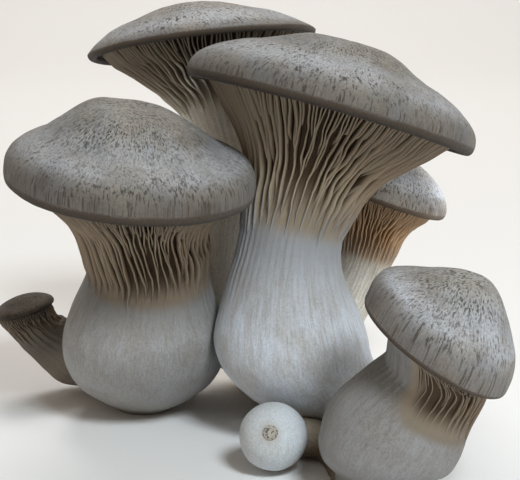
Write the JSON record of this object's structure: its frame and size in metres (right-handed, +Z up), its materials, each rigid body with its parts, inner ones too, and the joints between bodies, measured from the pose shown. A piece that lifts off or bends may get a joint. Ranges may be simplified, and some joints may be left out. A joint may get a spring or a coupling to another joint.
{
  "type": "king oyster mushroom cluster",
  "caption": "Cluster of king oyster mushrooms with bulbous stems, running gills and domed caps, joined at the base and standing on it.",
  "frame": {"origin": "middle of the cluster's bounding box, on the surface that it stands on", "axes": "+Z up along the stems, -Y towards the viewer of the picture, +X to the viewer's right"},
  "size_m": [0.1718, 0.1872, 0.1429],
  "materials": {
    "cap_skin": "matte",
    "stem_flesh": "matte",
    "base_tissue": "matte"
  },
  "bodies": {
    "root": {"cap_centre": "cap_skin", "cap_left": "cap_skin", "cap_back_left": "cap_skin", "cap_back_right": "cap_skin", "cap_front_right": "cap_skin", "cap_small_left": "cap_skin", "cap_button": "cap_skin", "stem_centre": "stem_flesh", "stem_left": "stem_flesh", "stem_back_left": "stem_flesh", "stem_back_right": "stem_flesh", "stem_front_right": "stem_flesh", "stem_small_left": "stem_flesh", "stem_button": "stem_flesh", "joined_base": "base_tissue"}
  },
  "joints": []
}
